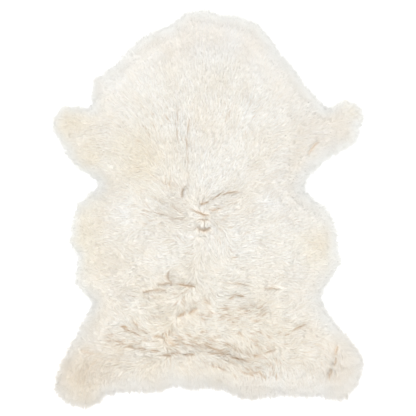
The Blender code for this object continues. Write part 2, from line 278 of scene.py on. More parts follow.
# Where the wool is curled and shows many small clefts
#    place         x   y  width height count depth
CURLS = (
    ("rump right", 80, -235, 80, 30, 34, 3.2),
    ("rump", 10, -225, 45, 30, 14, 3.6),
    ("above tail", -30, -285, 110, 22, 22, 3.6),
    ("tail row left", -110, -305, 90, 18, 20, 2.6),
    ("tail row right", 40, -322, 90, 34, 30, 2.2),
    ("tail row far right", 120, -340, 60, 24, 12, 3.0),
    ("thigh right", 130, -295, 90, 30, 14, 3.5),
    ("tail right", 110, -365, 80, 12, 10, 4.0),
    ("thigh left", -180, -285, 60, 30, 10, 4.0),
    ("loin", -80, -200, 110, 30, 14, 3.0),
    ("whorl right", 70, -20, 80, 50, 12, 2.2),
    ("whorl left", -130, -10, 80, 40, 10, 1.8),
    ("above whorl", -60, 60, 60, 30, 8, 2.0),
    ("withers left", -110, 190, 70, 60, 12, 2.4),
    ("withers right", 60, 200, 80, 60, 10, 2.0),
    ("belly", 0, -90, 170, 40, 12, 1.8),
)
CURL_LENGTH = (0.008, 0.019)
CURL_TURN = 14.0  # how far a curl turns from the lie of the wool, in degrees
CURL_ARCH = 0.0012  # how far its middle is out of line

# Patches of stained wool, in percent: cream is yellower, sand is browner, and grey only darker
#    place           x    y  width height cream sand grey
PATCHES = (
    ("left flank", -270, -70, 50, 110, 55, 0, 50),
    ("right flank", 235, -85, 45, 55, 40, 0, 0),
    ("neck", 0, 400, 150, 80, 0, 12, 90),
    ("left fore leg", -310, 190, 60, 50, 50, 25, 35),
    ("left armpit", -262, 130, 40, 60, 45, 10, 0),
    ("right fore leg", 270, 180, 60, 50, 0, 15, 50),
    ("right fore foot", 334, 236, 26, 26, 80, 50, 0),
    ("left side", -160, 110, 80, 70, 40, 5, 0),
    ("left hind foot", -277, -413, 50, 45, 25, 60, 0),
    ("left hind leg", -270, -360, 80, 60, 12, 85, 30),
    ("right hind leg", 300, -370, 60, 70, 0, 35, 50),
    ("loin and rump", 0, -250, 300, 120, 22, 5, 0),
    ("above tail", -10, -345, 300, 35, 22, 12, 0),
    ("tail", 0, -405, 240, 40, 8, 30, 10),
)
CREAM, SAND, GREY = 5, 6, 7  # those columns

# What the wool's colour is multiplied by where each of these is full
STAINS_AND_SHADE = {
    # warmer roots and painted shade along the clefts
    "parted": (198, 156, 100),
    # warmer inner wool and painted shade on the lowest strands
    "deep_warmth_and_shade": (228, 209, 181),
    "cream": (251, 243, 222),
    "sand": (240, 232, 221),
}


# ---- shares and tables

def rising(value, start, span):
    """How far a value is along a span, from 0 at its start to 1 at its end."""
    return np.clip((value - start) / span, 0.0, 1.0)


def eased(least, share):
    """From least to 1, as a share goes from 0 to 1."""
    return least + (1.0 - least) * share


def coat(y):
    """The wool's character along the pelt, an array for each column of its table."""
    rows = np.array(COAT)[::-1]
    return {name: np.interp(y, rows[:, 0], rows[:, column])
            for column, name in enumerate(COAT_COLUMNS) if column}


def acting(table, column, x, y):
    """How strongly a table's places act at each point, from 0 to 1, by one of its columns."""
    total = np.zeros(np.shape(x))
    for row in table:
        place_x, place_y, width, height = np.array(row[1:5]) / MM
        gap = ((x - place_x) / width) ** 2 + ((y - place_y) / height) ** 2
        total = np.maximum(total, row[column] / 100 * np.exp(-gap))
    return total


# ---- the map of the pelt

def blurred(grid, sigma):
    """The grid smoothed by a bell curve, with sigma in metres."""
    reach = int(3 * sigma / CELL) + 1
    bell = np.exp(-0.5 * (np.arange(-reach, reach + 1) * CELL / sigma) ** 2)
    bell /= bell.sum()
    for axis in (0, 1):
        grid = np.apply_along_axis(np.convolve, axis, grid, bell, mode="same")
    return grid


def looked_down_on(node):
    """The height of a CAD node's top over each cell of the map, 0 where there is nothing."""
    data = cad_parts[node].data
    tree = BVHTree.FromPolygons([corner.co for corner in data.vertices],
                                [face.vertices for face in data.polygons])
    low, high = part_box(node)
    xs = np.arange(low[0] - MARGIN, high[0] + MARGIN, CELL)
    ys = np.arange(low[1] - MARGIN, high[1] + MARGIN, CELL)
    down = Vector((0.0, 0.0, -1.0))
    top = np.zeros((len(ys), len(xs)))
    for row, y in enumerate(ys):
        for column, x in enumerate(xs):
            place = tree.ray_cast(Vector((x, y, 1.0)), down)[0]
            top[row, column] = place.z if place else 0.0
    return xs, ys, top


def distance_inside(xs, ys, region):
    """Distance from each cell to the region's edge, positive inside it."""
    change = np.zeros(region.shape, bool)
    change[1:-1, 1:-1] = region[1:-1, 1:-1] & ~(
        region[2:, 1:-1] & region[:-2, 1:-1] & region[1:-1, 2:] & region[1:-1, :-2])
    rows, columns = np.nonzero(change)
    tree = KDTree(len(rows))
    for number, (row, column) in enumerate(zip(rows, columns)):
        tree.insert((xs[column], ys[row], 0.0), number)
    tree.balance()
    gaps = np.array([[tree.find((x, y, 0.0))[2] for x in xs] for y in ys])
    return np.where(region, gaps, -gaps)


def survey(node):
    """Everything the wool needs to know of the pelt, as grids over the same cells."""
    xs, ys, top = looked_down_on(node)
    solid = (top > 0.0).astype(float)
    slope_y, slope_x = np.gradient(blurred(solid, OUTWARD_BLUR))
    steep = np.hypot(slope_x, slope_y) + 1e-9
    land = {name: blurred(top, blur) for name, blur in HEIGHT_BLURS.items()}
    land["x"], land["y"] = xs, ys
    land["cells"] = np.meshgrid(xs, ys)
    land["out_x"], land["out_y"] = -slope_x / steep, -slope_y / steep
    land["edge"] = distance_inside(xs, ys, blurred(solid, EDGE_BLUR) > EDGE_SHARE)
    land["shoulder"] = 1.0 - rising(land["edge"], 0.0, EDGE_REACH)
    return land


def sampled(land, name, x, y):
    """A grid's value at any place, by the four cells round it."""
    grid = land[name]
    column = np.clip((x - land["x"][0]) / CELL, 0.0, grid.shape[1] - 1.001)
    row = np.clip((y - land["y"][0]) / CELL, 0.0, grid.shape[0] - 1.001)
    left, low = column.astype(int), row.astype(int)
    right_share, up_share = column - left, row - low
    lower = grid[low, left] * (1 - right_share) + grid[low, left + 1] * right_share
    upper = grid[low + 1, left] * (1 - right_share) + grid[low + 1, left + 1] * right_share
    return lower * (1 - up_share) + upper * up_share


def combed(land, x, y):
    """Which way the wool lies at each place, as an angle."""
    return np.arctan2(sampled(land, "comb_y", x, y), sampled(land, "comb_x", x, y))


def scattered(land, rows, columns, draw):
    """A place somewhere in each of these cells."""
    x = land["x"][columns] + draw.uniform(-0.5, 0.5, len(columns)) * CELL
    y = land["y"][rows] + draw.uniform(-0.5, 0.5, len(rows)) * CELL
    return x, y


def unevenness(land, span, draw):
    """Smooth random numbers over the map, about as wide as the span, with a spread of 1."""
    grid = blurred(draw.normal(0.0, 1.0, land["top"].shape), span)
    return grid / grid.std()


def add_zones(land):
    """Where the wool is lively, where it lies in wisps, and where it is dull, from 0 to 1."""
    x, y = land["cells"]
    land["lively"] = rising(land["edge"], CALM_START, coat(y)["calm"])
    land["wisps"] = acting(WISPS, STRENGTH, x, y)
    along = rising(land["edge"], *DULL_BAND)
    land["dull"] = 4.0 * along * (1.0 - along)


def add_comb(land, draw):
    """Which way the wool lies: the comb table on the back, and straight outwards at the edge."""
    x, y = land["cells"]
    pull_x, pull_y = np.zeros(x.shape), np.zeros(x.shape)
    for place_y, *row in COMB:
        for place_x, heading in row:
            weight = 1.0 / ((x - place_x / MM) ** 2 + (y - place_y / MM) ** 2 + COMB_SOFTNESS) ** 2
            pull_x += weight * math.cos(math.radians(heading))
            pull_y += weight * math.sin(math.radians(heading))
    size = np.hypot(pull_x, pull_y)
    at_edge = land["shoulder"] ** 1.2
    comb_x = blurred(pull_x / size * (1 - at_edge) + land["out_x"] * at_edge, COMB_BLUR)
    comb_y = blurred(pull_y / size * (1 - at_edge) + land["out_y"] * at_edge, COMB_BLUR)
    swirl = np.radians(coat(y)["swirl"]) * unevenness(land, SWIRL_SPAN, draw)
    swirl = swirl * land["lively"] * (1.0 - WISP_STEADY * land["wisps"])
    land["comb_x"] = comb_x * np.cos(swirl) - comb_y * np.sin(swirl)
    land["comb_y"] = comb_x * np.sin(swirl) + comb_y * np.cos(swirl)


def add_relief(land, draw):
    """The wool's top: part-filled valleys, a soft shoulder at the edge, and small lumps."""
    inner = rising(land["edge"], *FILL_BAND)
    land["top"] += VALLEY_FILL * inner * np.maximum(land["level"] - land["top"], 0.0)
    land["ragged"] = unevenness(land, RAGGED_SPAN, draw)
    land["top"] = land["top"] * (1.0 - land["shoulder"]) + land["soft"] * land["shoulder"]
    lump = coat(land["cells"][1])["lump"]
    land["top"] += lump * unevenness(land, LUMP_SPAN, draw) * land["lively"]


def bent_line(start, bend, end, count):
    """Points along a curve from the start to the end, by way of the bend."""
    t = np.linspace(0.0, 1.0, count)[:, None]
    middle = 2 * bend - (start + end) / 2
    return (1 - t) ** 2 * start + 2 * t * (1 - t) * middle + t ** 2 * end


def curl_line(land, place, size, draw):
    """A short cleft somewhere in a patch of curls, roughly along the lie of the wool."""
    middle = place + draw.uniform(-0.7, 0.7, 2) * size
    way = math.atan2(sampled(land, "comb_y", *middle), sampled(land, "comb_x", *middle))
    way += math.radians(draw.normal(0.0, CURL_TURN))
    along = np.array([math.cos(way), math.sin(way)])
    across = np.array([-along[1], along[0]])
    half = draw.uniform(*CURL_LENGTH) / 2 * along
    arch = draw.normal(0.0, CURL_ARCH) * across
    return bent_line(middle - half, middle + arch, middle + half, 7)


def clefts(land, draw):
    """Every cleft as a short line and a depth: each parting is broken into a few of them."""
    found = []
    for start, bend, end, depth, count in PARTINGS:
        line = bent_line(*np.array([start, bend, end]) / MM, CLEFT_STEPS * count + 1)
        for number in range(count):
            trim = draw.integers(0, 2) if count > 1 else 0
            piece = line[CLEFT_STEPS * number:CLEFT_STEPS * (number + 1) + 1 - trim]
            stray = draw.normal(0.0, CLEFT_WANDER, 2) * (count > 1)
            wobble = draw.normal(0.0, CLEFT_WOBBLE, piece.shape)
            found.append((piece + stray + wobble, depth / MM * draw.uniform(0.7, 1.1)))
    for _, x, y, width, height, count, depth in CURLS:
        place, size = np.array([(x, y), (width, height)]) / MM
        for _ in range(count):
            line = curl_line(land, place, size, draw)
            found.append((line, depth / MM * draw.uniform(0.6, 1.3)))
    return found


def add_partings(land, lines):
    """Partings: the wool drops sharply at the line and rises again the way that it is combed."""
    x, y = land["cells"]
    parted = np.zeros(x.shape)
    for line, depth in lines:
        fade = np.sin(np.linspace(0.12, 0.88, len(line)) * math.pi) ** 0.6
        low, high = line.min(0) - CLEFT_ROUND, line.max(0) + CLEFT_ROUND
        near = (slice(*np.searchsorted(land["y"], (low[1], high[1]))),
                slice(*np.searchsorted(land["x"], (low[0], high[0]))))
        comb_x, comb_y = land["comb_x"][near], land["comb_y"][near]
        for (place_x, place_y), share in zip(line, fade):
            gap_x, gap_y = x[near] - place_x, y[near] - place_y
            ahead = gap_x * comb_x + gap_y * comb_y
            aside = gap_x * comb_y - gap_y * comb_x
            falls = np.where(ahead > 0.0, np.exp(-ahead / CLEFT_WIDTH),
                             np.exp(-(ahead / CLEFT_BACK) ** 2))
            drop = share * depth * falls * np.exp(-(aside / CLEFT_SIDE) ** 2)
            parted[near] = np.maximum(parted[near], drop)
    land["parted"] = parted
    land["parted_wide"] = blurred(parted, CELL)
    land["top"] = np.maximum(land["top"] - CLEFT_DROP * parted, 0.0)


# ---- staples and strands

def staple_sites(land, draw):
    """Uneven places for the staples, closer together where the wool is finer."""
    finest = min(row[1] for row in COAT)
    columns = np.arange(land["x"][0], land["x"][-1], finest)
    rows = np.arange(land["y"][0], land["y"][-1], finest * math.sqrt(3) / 2)
    x, y = np.meshgrid(columns, rows)
    x[1::2] += finest / 2
    x, y = x.ravel(), y.ravel()
    x = x + draw.uniform(-STAPLE_JITTER, STAPLE_JITTER, len(x)) * finest
    y = y + draw.uniform(-STAPLE_JITTER, STAPLE_JITTER, len(y)) * finest
    wanted = (finest / coat(y)["spacing"]) ** 2
    kept = (sampled(land, "edge", x, y) > RIM_SPAN[0]) & (draw.random(len(x)) < wanted)
    return x[kept], y[kept]


def coat_at(land, x, y, draw):
    """The coat's character at many places, evener in the calm wool near the edge."""
    made = coat(y)
    made["x"], made["y"] = x, y
    lively = sampled(land, "lively", x, y)
    wisps = sampled(land, "wisps", x, y)
    for name in ("lift", "wave", "clump", "swirl"):
        made[name] *= eased(CALM_SHARE, lively)
    made["clump"] += WISP_CLUMP * wisps
    made["lift"] *= 1.0 + WISP_LIFT * wisps
    made["bend"] = np.radians(draw.normal(0.0, 0.6, len(x)) * made["swirl"])
    made["phase"] = draw.uniform(0.0, 2 * math.pi, len(x))
    made["layer"] = draw.uniform(-1.0, 1.0, len(x))
    made["tone"] = draw.uniform(0.3, 1.0, len(x)) * lively + CALM_TONE * (1.0 - lively)
    made["tone"] *= 1.0 - DULLNESS * sampled(land, "dull", x, y)
    made["tone"] *= 1.0 - acting(PATCHES, GREY, x, y)
    made["root"] = np.full(len(x), ROOT_DEPTH)
    made["shade"] = (made["shade"] + WISP_SHADE * wisps) * lively
    made["width"] *= eased(CALM_WIDTH, lively)
    made["length"] *= CALM_LENGTH + LIVELY_LENGTH * lively
    return made


def staples(land, draw):
    """The staples of the whole pelt: where each stands and what its strands share."""
    made = coat_at(land, *staple_sites(land, draw), draw)
    count = len(made["x"])
    made["turn"] = np.radians(draw.normal(0.0, 0.35, count) * made["swirl"])
    made["length"] *= draw.uniform(0.75, 1.15, count)
    return made


def strands_of(land, staple, per_staple, draw):
    """Give each staple its strands, spread at their roots and drawn together at their tips."""
    owner = np.repeat(np.arange(len(staple["x"])), per_staple)
    strand = {name: values[owner] for name, values in staple.items()}
    angle = draw.uniform(0.0, 2 * math.pi, len(owner))
    spread = np.sqrt(draw.random(len(owner))) * strand["spacing"] * STAPLE_SPREAD
    strand["off_x"], strand["off_y"] = np.cos(angle) * spread, np.sin(angle) * spread
    return varied(land, strand, draw)


def set_back(land, strand, way):
    """Move strands back, against the lie of the wool."""
    x, y = strand["x"], strand["y"]
    strand["x"] = x - sampled(land, "comb_x", x, y) * way
    strand["y"] = y - sampled(land, "comb_y", x, y) * way


def varied(land, strand, draw):
    """Small differences from strand to strand. Those that would pass the edge start further in."""
    count = len(strand["x"])
    length = strand["length"] * draw.uniform(0.80, 1.12, count)
    room = sampled(land, "edge", strand["x"], strand["y"]) - draw.uniform(0.0, RIM_SHORT, count)
    strand["ahead"] = (1.0 - SITE) * length
    strand["behind"] = SITE * length
    set_back(land, strand, np.maximum(strand["ahead"] - room, 0.0))
    strand["lip"] = np.zeros(count)
    strand["phase"] += draw.normal(0.0, 0.5, count)
    strand["turn"] += np.radians(draw.normal(0.0, 5.0, count))
    strand["layer"] += draw.normal(0.0, 0.25, count)
    strand["tone"] = np.clip(strand["tone"] + draw.normal(0.0, 0.06, count), 0.0, 1.0)
    strand["width"] *= draw.uniform(0.75, 1.20, count)
    return strand


def loose_strands(land, covered, count, draw):
    """Single strands where the staples left the coat thin."""
    thin = (1.0 - rising(covered, 0.0, np.median(covered[covered > 0.0]))) ** 3
    thin *= (land["edge"] > LOOSE_EDGE) & (land["parted"] < LOOSE_PARTED)
    chosen = draw.choice(thin.size, count, p=(thin / thin.sum()).ravel())
    x, y = scattered(land, *np.unravel_index(chosen, thin.shape), draw)
    strand = coat_at(land, x, y, draw)
    set_back(land, strand, 0.25 * strand["length"])
    for name in ("off_x", "off_y", "turn"):
        strand[name] = np.zeros(count)
    return varied(land, strand, draw)


def coverage(land, paths, width):
    """How much wool lies over each cell of the map."""
    covered = np.zeros(land["top"].shape)
    for ring in range(1, paths.shape[1] - 1):
        for share in (0.0, 0.33, 0.67):
            place = paths[:, ring] * (1 - share) + paths[:, ring + 1] * share
            column = ((place[:, 0] - land["x"][0]) / CELL + 0.5).astype(int)
            row = ((place[:, 1] - land["y"][0]) / CELL + 0.5).astype(int)
            np.add.at(covered, (row, column), width)
    return blurred(covered, CELL)


def crossing_share(roots, tips, lines):
    """How far along its way each straight run meets the first cleft, 1 if it meets none."""
    share = np.ones(len(roots))
    run = tips - roots
    for line, _ in lines:
        near = np.nonzero(np.abs(roots - line.mean(0)).max(1) < 0.08)[0]
        for one, other in zip(line[:-1], line[1:]):
            side = other - one
            cross = run[near, 0] * side[1] - run[near, 1] * side[0]
            cross = np.where(np.abs(cross) < 1e-12, 1e-12, cross)
            gap = one - roots[near]
            along = (gap[:, 0] * side[1] - gap[:, 1] * side[0]) / cross
            across = (gap[:, 0] * run[near, 1] - gap[:, 1] * run[near, 0]) / cross
            slant = np.abs(cross) / (np.linalg.norm(run[near], axis=1) * np.linalg.norm(side) + 1e-12)
            meets = ((slant > ACROSS) & (along > 0.0) & (along < share[near])
                     & (across >= 0.0) & (across <= 1.0))
            share[near] = np.where(meets, along, share[near])
    return share


def cut_at_clefts(land, strand, lines):
    """Let no strand lie across a cleft: tips end at its edge, and roots start beyond it."""
    paths = strand_paths(land, strand)
    root, site, tip = paths[:, 0, :2], paths[:, 1, :2], paths[:, -1, :2]
    ahead = crossing_share(site, tip, lines)
    behind = crossing_share(site, root, lines)
    strand["lip"] = np.where(ahead < 1.0, LIP, 0.0)
    strand["ahead"] *= np.maximum(ahead, 0.10)
    strand["behind"] *= np.where(behind < 1.0, 0.7 * behind, 1.0)
    strand["root"] *= np.where(behind < 1.0, 0.55, 1.0)
    paths = strand_paths(land, strand)
    strand["parted"] = open_clefts(paths, lines)
    return paths


def beside(line, place):
    """For places by a line: the way to its left, how far left they are, and how near its middle."""
    nearest = np.full(place.shape[:2], 1.0)
    left = np.zeros(place.shape)
    lying = np.zeros(place.shape[:2])
    along = np.zeros(place.shape[:2])
    for number, (one, other) in enumerate(zip(line[:-1], line[1:])):
        side = other - one
        across = np.array([-side[1], side[0]]) / np.linalg.norm(side)
        share = np.clip(((place - one) @ side) / (side @ side), 0.0, 1.0)
        offset = place - one - share[..., None] * side
        distance = np.linalg.norm(offset, axis=2)
        closer = distance < nearest
        nearest = np.where(closer, distance, nearest)
        left = np.where(closer[..., None], across, left)
        lying = np.where(closer, np.copysign(distance, offset @ across), lying)
        along = np.where(closer, (number + share) / (len(line) - 1), along)
    return left, lying, np.sqrt(4.0 * along * (1.0 - along))


def open_clefts(paths, lines):
    """Draw the strands off each cleft's line to their own sides, and say how far they show warmer roots
    and painted shade.
    """
    parted = np.zeros(paths.shape[:2])
    for line, depth in lines:
        near = np.nonzero(np.abs(paths[:, 1, :2] - line.mean(0)).max(1) < 0.05)[0]
        left, lying, middling = beside(line, paths[near, :, :2])
        own_side = np.where(lying[:, 1:2] < 0.0, -1.0, 1.0)
        lying = lying * own_side
        gap = (CLEFT_GAP[0] + CLEFT_GAP[1] * depth) * middling
        share = rising(lying, -CLEFT_REACH, 1.6 * gap + CLEFT_REACH)
        drawn = (lying > -CLEFT_REACH) & (lying < 1.6 * gap)
        push = np.where(drawn, gap * (1.0 + 0.6 * share) - lying, 0.0)
        paths[near, :, :2] += left * (own_side * push)[..., None]
        warmth_and_shade = middling * np.exp(-((np.abs(lying + push) - gap) / CLEFT_TINT) ** 2)
        parted[near] = np.maximum(parted[near], min(1.0, depth / CLEFT_ROOTS_AND_SHADE_DEPTH) * warmth_and_shade)
    return parted * (1.0 - STOPS)


def coat_strands(land, lines, total, draw):
    """All strands of the coat and their paths: those in staples, then loose ones between them."""
    staple = staples(land, draw)
    per_staple = int(total * (1.0 - LOOSE_SHARE)) // len(staple["x"])
    strand = strands_of(land, staple, per_staple, draw)
    paths = cut_at_clefts(land, strand, lines)
    covered = coverage(land, paths, strand["width"])
    each_round = (total - len(strand["x"])) // LOOSE_ROUNDS
    for _ in range(LOOSE_ROUNDS):
        loose = loose_strands(land, covered, each_round, draw)
        loose_paths = cut_at_clefts(land, loose, lines)
        covered += coverage(land, loose_paths, loose["width"])
        strand = {name: np.concatenate([values, loose[name]]) for name, values in strand.items()}
        paths = np.concatenate([paths, loose_paths])
    return strand, paths


def rim_strands(land, count, draw):
    """Finer strands that lie straight outwards over the edge, each with a place of its own."""
    rows, columns = np.nonzero((land["edge"] > RIM_SPAN[0]) & (land["edge"] < RIM_SPAN[1]))
    chosen = draw.permutation(np.resize(np.arange(len(rows)), max(count, len(rows))))[:count]
    x, y = scattered(land, rows[chosen], columns[chosen], draw)
    ragged = 1.0 + RAGGED * np.clip(sampled(land, "ragged", x, y), -1.5, 1.5)
    none = np.zeros(count)
    return {
        "x": x, "y": y, "off_x": none, "off_y": none,
        "ahead": sampled(land, "edge", x, y) + draw.uniform(-RIM_SHORT, RIM_LONG, count) * ragged,
        "behind": draw.uniform(0.008, 0.014, count),
        "lift": draw.uniform(0.0001, 0.0005, count),
        "layer": draw.uniform(-1.0, 1.0, count),
        "wave": draw.uniform(0.0001, 0.0006, count),
        "phase": draw.uniform(0.0, 2 * math.pi, count),
        "turn": np.radians(draw.normal(0.0, 14.0, count)),
        "bend": np.radians(draw.normal(0.0, 16.0, count)),
        "clump": none,
        "lip": draw.uniform(0.0, RIM_LIFT, count),
        "root": np.full(count, 0.6 * ROOT_DEPTH),
        "parted": np.zeros((count, len(STOPS))),
        "shade": none,
        "tone": draw.uniform(0.00, 0.20, count),
        "width": draw.uniform(0.7, 1.2, count) * RIM_WIDTH,
    }


def strand_paths(land, strand):
    """The middle line of every strand, from its root to its tip."""
    x, y = strand["x"], strand["y"]
    heading = combed(land, x, y) + strand["turn"]
    ways = [(x - np.cos(heading) * strand["behind"], y - np.sin(heading) * strand["behind"], heading),
            (x, y, heading)]
    for before, stop in zip(STOPS[1:], STOPS[2:]):
        heading = combed(land, x, y) + strand["turn"] + strand["bend"] * (stop - SITE)
        step = (stop - before) / (1.0 - SITE) * strand["ahead"]
        x = x + np.cos(heading) * step
        y = y + np.sin(heading) * step
        ways.append((x, y, heading))
    places = []
    for stop, (x, y, heading) in zip(STOPS, ways):
        sway = strand["wave"] * math.sqrt(stop) * np.sin(WAVES * stop + strand["phase"])
        gather = 1.0 - strand["clump"] * stop ** 0.7
        here_x = x + strand["off_x"] * gather - np.sin(heading) * sway
        here_y = y + strand["off_y"] * gather + np.cos(heading) * sway
        rise = (-strand["root"] * (1.0 - stop) ** 1.6 + strand["lip"] * stop ** 2
                + strand["lift"] * (0.7 * strand["layer"] * stop + math.sin(math.pi * stop) - 0.2))
        height = sampled(land, "top", here_x, here_y) + rise
        places.append(np.column_stack([here_x, here_y, height]))
    return np.stack(places, axis=1)


# ---- meshes of wool

def ringed(paths, width):
    """Three-sided rings round each path, and its tip. Strands never dip into the floor."""
    along = np.gradient(paths, axis=1)
    along /= np.linalg.norm(along, axis=2, keepdims=True) + 1e-9
    side = np.cross(along, (0.0, 0.0, 1.0))
    side /= np.linalg.norm(side, axis=2, keepdims=True) + 1e-9
    up = np.cross(side, along)
    half = width[:, None] * GIRTH
    floor = FLOOR_CLEARANCE + 0.5 * FLATTEN * half
    paths[:, :-1, 2] = np.maximum(paths[:, :-1, 2], floor)
    paths[:, -1, 2] = np.maximum(paths[:, -1, 2], FLOOR_CLEARANCE)
    corners = []
    for degrees in (30, 150, 270):
        across = math.cos(math.radians(degrees)) * side[:, :-1] * half[..., None]
        above = math.sin(math.radians(degrees)) * up[:, :-1] * half[..., None] * FLATTEN
        corners.append(paths[:, :-1] + across + above)
    rings = np.stack(corners, axis=2).reshape(len(paths), -1, 3)
    return np.concatenate([rings, paths[:, -1:]], axis=1)


def strand_faces():
    """One strand's faces as corner numbers, root to tip, and the flat layout of their corners."""
    last = len(STOPS) - 2
    faces, layout = [], []
    for ring in range(last + 1):
        for side in range(3):
            here, there = 3 * ring + side, 3 * ring + (side + 1) % 3
            low, high = side / 3, (side + 1) / 3
            layout += [(STOPS[ring], low), (STOPS[ring], high)]
            if ring < last:
                faces.append((here, there, there + 3, here + 3))
                layout += [(STOPS[ring + 1], high), (STOPS[ring + 1], low)]
            else:
                faces.append((here, there, 3 * last + 3))
                layout += [(STOPS[-1], (low + high) / 2)]
    return faces, np.array(layout)


def strand_cells(count, layout):
    """Every strand's layout in a small cell of its own."""
    columns = max(1, round(math.sqrt(count * 0.38)))
    rows = math.ceil(count / columns)
    number = np.arange(count)
    corner = np.column_stack([number % columns, number // columns])[:, None, :]
    return ((corner + 0.06 + 0.88 * layout[None]) / (columns, rows)).reshape(-1, 2)


def strand_mesh(name, corners):
    """One mesh of tapered strands. They are open at their roots, which the coat hides."""
    count, per_strand = corners.shape[:2]
    faces, layout = strand_faces()
    loops = (np.arange(count)[:, None] * per_strand + np.concatenate(faces)[None]).ravel()
    sizes = np.tile([len(face) for face in faces], count)
    starts = np.concatenate([[0], np.cumsum(sizes)[:-1]])
    data = bpy.data.meshes.new(name)
    data.vertices.add(count * per_strand)
    data.vertices.foreach_set("co", corners.astype(np.float32).ravel())
    data.loops.add(len(loops))
    data.loops.foreach_set("vertex_index", loops.astype(np.int32))
    data.polygons.add(len(starts))
    data.polygons.foreach_set("loop_start", starts.astype(np.int32))
    data.update(calc_edges=True)
    data.shade_smooth()
    cells = strand_cells(count, layout)
    data.uv_layers.new(name="OFBake").data.foreach_set("uv", cells.astype(np.float32).ravel())
    return data


def add_values(data, name, values):
    """Store one number for each corner of the mesh."""
    data.attributes.new(name, "FLOAT", "POINT").data.foreach_set("value", values.astype(np.float32))


def wool_mesh(name, land, paths, strand):
    """One mesh of strands, with what its material needs to know of them."""
    corners = ringed(paths, strand["width"])
    data = strand_mesh(name, corners)
    add_values(data, "along", np.tile(np.repeat(STOPS, CORNERS), len(paths)))
    # warmer roots and painted shade by the clefts
    add_values(data, "parted", np.repeat(strand["parted"], CORNERS, axis=1).ravel())
    # the lowest strands are painted warmer and darker: partly warmer inner wool, partly painted shade
    # under the strands above
    deep_warmth_and_shade = np.clip(0.5 - 0.5 * strand["layer"], 0.0, 1.0) ** 2 * strand["shade"]
    cream = acting(PATCHES, CREAM, strand["x"], strand["y"])
    sand = acting(PATCHES, SAND, strand["x"], strand["y"])
    for label, values in (("tone", strand["tone"]), ("deep_warmth_and_shade", deep_warmth_and_shade), ("cream", cream), ("sand", sand)):
        add_values(data, label, np.repeat(values, sum(CORNERS)))
    x, y = corners[..., 0].ravel(), corners[..., 1].ravel()
    # painted light: the wool is paled towards the edge, to offset the shade on its thin, sloping fringe
    pale = (1.0 - rising(sampled(land, "edge", x, y), *PALE_BAND)) * coat(y)["pale"]
    add_values(data, "rim", pale)
    return data


def added(name, data):
    """A new object in the scene."""
    made = bpy.data.objects.new(name, data)
    bpy.context.scene.collection.objects.link(made)
    return made


def shown(name, data, material):
    """A piece of the rug: it rides on the pelt's body and stands for the pelt's solid."""
    piece = added(name, data)
    data.materials.append(material)
    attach(piece, BODY)
    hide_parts(NODE)
    return piece


def make_wool(land, lines, material, draw):
    """The whole coat: bands from the neck to the tail, and the fringe round the edge."""
    triangles = sum(len(face) - 2 for face in strand_faces()[0])
    each = BAND_TRIANGLES // triangles
    strand, paths = coat_strands(land, lines, each * len(BANDS), draw)
    order = np.argsort(-(strand["y"] + draw.normal(0.0, BAND_BLEND, len(strand["y"]))))
    pieces = []
    for name, chosen in zip(BANDS, np.array_split(order, len(BANDS))):
        part = {key: values[chosen] for key, values in strand.items()}
        data = wool_mesh(name, land, paths[chosen], part)
        pieces.append(shown(name, data, material))
    rim = rim_strands(land, each, draw)
    data = wool_mesh("wool_rim", land, strand_paths(land, rim), rim)
    pieces.append(shown("wool_rim", data, material))
    return pieces


# ---- undercoat and skin

def extruded(mesh, height):
    """Make a sheet of faces a body, and give the faces of its new flat side at this height."""
    side = bmesh.ops.extrude_face_region(mesh, geom=mesh.faces[:])["geom"]
    for corner in [part for part in side if isinstance(part, bmesh.types.BMVert)]:
        corner.co.z = height
    return [part for part in side if isinstance(part, bmesh.types.BMFace)]


def finished(name, mesh):
    """The mesh as data for an object, with its faces pointing out."""
    bmesh.ops.recalc_face_normals(mesh, faces=mesh.faces)
    data = bpy.data.meshes.new(name)
    mesh.to_mesh(data)
    mesh.free()
    return data


def make_undercoat(land, material):
    """The dense wool that the staples stand in: a lumpy closed body just below their tips."""
    xs = np.arange(land["x"][0], land["x"][-1], UNDERCOAT_CELL)
    ys = np.arange(land["y"][0], land["y"][-1], UNDERCOAT_CELL)
    x, y = np.meshgrid(xs, ys)
    land["low"] = np.minimum(land["bulk"], blurred(land["top"], UNDERCOAT_BLUR))
    depth = UNDERCOAT_DEPTH * eased(0.5, sampled(land, "lively", x, y))
    height = np.maximum(sampled(land, "low", x, y) - depth, SKIN + GAP + UNDERCOAT_LEAST)
    mesh = bmesh.new()
    corners = {}
    for row, column in zip(*np.nonzero(sampled(land, "edge", x, y) > UNDERCOAT_EDGE)):
        corners[row, column] = mesh.verts.new((xs[column], ys[row], height[row, column]))
    for row, column in corners:
        around = [(row, column), (row, column + 1), (row + 1, column + 1), (row + 1, column)]
        if all(place in corners for place in around):
            mesh.faces.new([corners[place] for place in around])
    bmesh.ops.delete(mesh, geom=[v for v in mesh.verts if not v.link_faces], context="VERTS")
    bmesh.ops.dissolve_faces(mesh, faces=extruded(mesh, SKIN + GAP))
    data = finished("undercoat", mesh)
    x, y = np.array([corner.co[:2] for corner in data.vertices]).T
    # warmer roots and painted shade along the clefts
    add_values(data, "parted", rising(sampled(land, "parted_wide", x, y), 0.0, 0.004))
    # paler in the calm wool, with less of its painted shade
    add_values(data, "pale", 1.0 - sampled(land, "lively", x, y))
    data.shade_smooth()
    return shown("undercoat", data, material)


def lies_flat(face):
    """Whether a face of the solid is part of a flat underside on the floor."""
    return face.normal.z < FACING_DOWN and abs(face.calc_center_median().z) < FLAT


def plateau_of(mesh):
    """The flat faces round the middle of the solid's underside."""
    middle = min(filter(lies_flat, mesh.faces), key=lambda face: face.calc_center_median().length)
    plateau, fresh = {middle}, [middle]
    while fresh:
        for edge in fresh.pop().edges:
            for neighbour in edge.link_faces:
                if neighbour not in plateau and lies_flat(neighbour):
                    plateau.add(neighbour)
                    fresh.append(neighbour)
    return plateau


